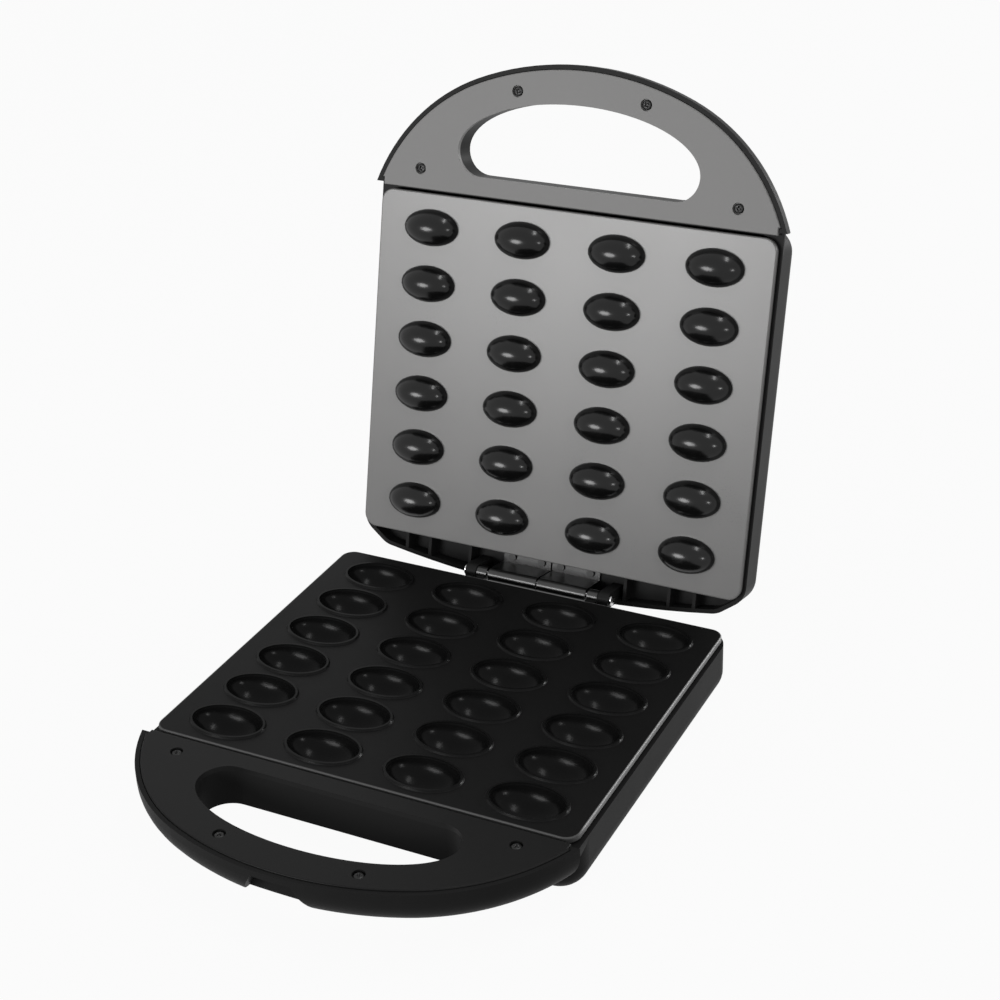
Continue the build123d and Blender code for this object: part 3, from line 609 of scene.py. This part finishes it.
def cover_screw_heads(piece, cad_node, body, normal):
    """One mesh of all the heads of a cover, each set on its screw along the cover's normal.

    A head's points are spun about its axis, turned to the cover's directions and moved to its seat."""
    side = Vector((1.0, 0.0, 0.0))
    turn = np.array([side, normal.cross(side), normal])
    axis = np.array(normal)
    head = head_points()
    points, faces = [], []
    for number, cluster in enumerate(screw_clusters(cad_node)):
        heights = cluster @ axis
        top = heights.max()
        rim = cluster[heights > top - HEAD_ZONE]
        middle = (rim.min(0) + rim.max(0)) / 2
        seat = middle - axis * (middle @ axis - (top - HEAD_HEIGHT))
        twist = FIRST_TWIST + NEXT_TWIST * number
        spin = np.array([[cos(twist), sin(twist), 0], [-sin(twist), cos(twist), 0], [0, 0, 1]])
        centre = seat + axis * (HEAD_HEIGHT - SLOT_DEPTH)
        points.append(np.vstack([(head @ spin) @ turn + seat, centre, seat]))
        faces += head_faces(number * (len(head) + 2))
    mesh = bpy.data.meshes.new(piece)
    mesh.from_pydata(np.vstack(points).tolist(), [], faces)
    mesh.materials.append(black_oxide)
    mesh.shade_smooth()
    made = bpy.data.objects.new(piece, mesh)
    scene.collection.objects.link(made)
    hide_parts(cad_node)
    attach(made, body)
    print(piece, "has", len(points), "heads and", len(faces), "faces")


cover_screw_heads("lower_cover_screw_heads", "lower_cover_screws", "base", Vector((0, 0, 1)))
cover_screw_heads("upper_cover_screw_heads", "upper_cover_screws", "lid", lid_normal)

# %% [markdown]
# ## Ground
# The appliance stands on a plain white ground. It is a real surface that keeps some of the shadow, and
# whatever looks at it directly, the camera, a mirror or glass, sees it lifted to white. So the picture
# has no horizon, and the light that the ground throws on the object stays at its own grey.

# %% Ground
FLOOR_SIZE, FLOOR_ROUGHNESS = 12.0, 0.9
FLOOR_WHITE = 0.95
FLOOR_GREY, WHITE = grey(0.3), grey(1.0)


def background_seen(tree):
    """1 for what the camera, a mirror or glass looks at directly, and 0 for light on the object."""
    straight = node(tree, "ShaderNodeLightPath", {}, {}, output="Is Camera Ray")
    kinds = straight.socket.node.outputs
    mirrored, through = (Value(tree, kinds[name]) for name in ("Is Glossy Ray", "Is Transmission Ray"))
    return straight.math("MAXIMUM", mirrored).math("MAXIMUM", through)


def ground():
    """A white floor that keeps some of the shadow that falls on it."""
    half = FLOOR_SIZE / 2
    mesh = bpy.data.meshes.new("floor")
    corners = [(-half, -half, 0), (half, -half, 0), (half, half, 0), (-half, half, 0)]
    mesh.from_pydata(corners, [], [(0, 1, 2, 3)])
    floor = bpy.data.objects.new("floor", mesh)
    scene.collection.objects.link(floor)
    material, tree, shader, _ = new_material("floor_white", gloss=0.0)
    feed(tree, shader, base_color=FLOOR_GREY, roughness=FLOOR_ROUGHNESS)
    white = node(tree, "ShaderNodeEmission", {}, {"Color": WHITE, "Strength": 1.0})
    surface = Value(tree, shader.outputs[0])
    amount = background_seen(tree) * FLOOR_WHITE
    both = node(tree, "ShaderNodeMixShader", {}, {0: amount, 1: surface, 2: white})
    tree.links.new(both.socket, tree.nodes["Material Output"].inputs["Surface"])
    mesh.materials.append(material)
    print("floor of", FLOOR_SIZE, "metres")


ground()

# %% [markdown]
# ## Room
# The room is an even pale grey for the light on the object, and almost white where something looks at it
# directly, so the background matches the ground.

# %% Room
ROOM_LIGHT, ROOM_SEEN = 0.5, 0.47


def sky():
    """An even pale room, whiter where it is looked at directly."""
    world = bpy.data.worlds.new("room")
    world.use_nodes = True
    tree = world.node_tree
    backdrop = tree.nodes["Background"]
    backdrop.inputs["Color"].default_value = WHITE
    strength = ROOM_LIGHT + background_seen(tree) * ROOM_SEEN
    tree.links.new(strength.socket, backdrop.inputs["Strength"])
    scene.world = world
    print("room light:", ROOM_LIGHT, "seen directly:", ROOM_LIGHT + ROOM_SEEN)


sky()

# %% [markdown]
# ## Lamps
# The lid's plate faces the space in front and to the left, near table height. A softbox stands just
# there, so the plate mirrors its glow, light above and darker towards the hinge, and each dome carries a
# wide highlight. A small lamp from the right adds the second, smaller one. A strip from above lights the
# faces that look up, and one from behind shapes the lid's back.

# %% Lamps
AIM = grid_middle + Vector((0.0, 0.05, 0.1))
STRIP = 0.25
LAMPS = {
    "softbox": {"towards": (-0.383, -0.907, 0.19), "distance": 2.2, "size": (1.1, 0.8), "watts": 32.0},
    "side_lamp": {"towards": (0.9, -0.6, 0.3), "distance": 2.2, "size": (0.4, STRIP), "watts": 6.0},
    "top_lamp": {"towards": (0.4, 0.1, 1.4), "distance": 2.4, "size": (1.6, STRIP), "watts": 14.0},
    "rear_softbox": {"towards": (0.8, 1.0, 0.2), "distance": 2.4, "size": (1.6, STRIP), "watts": 26.0},
}


def lamp(name, towards, distance, size, watts):
    """An oval area lamp that shines from a direction onto the middle of the object."""
    data = bpy.data.lights.new(name, "AREA")
    data.shape = "ELLIPSE"
    data.size, data.size_y = size
    data.energy = watts
    made = bpy.data.objects.new(name, data)
    direction = Vector(towards).normalized()
    made.location = AIM + direction * distance
    made.rotation_euler = direction.to_track_quat("Z", "Y").to_euler()
    scene.collection.objects.link(made)
    print(name, "at", [round(part, 2) for part in made.location], watts, "W")


for lamp_name, values in LAMPS.items():
    lamp(lamp_name, **values)

# %% [markdown]
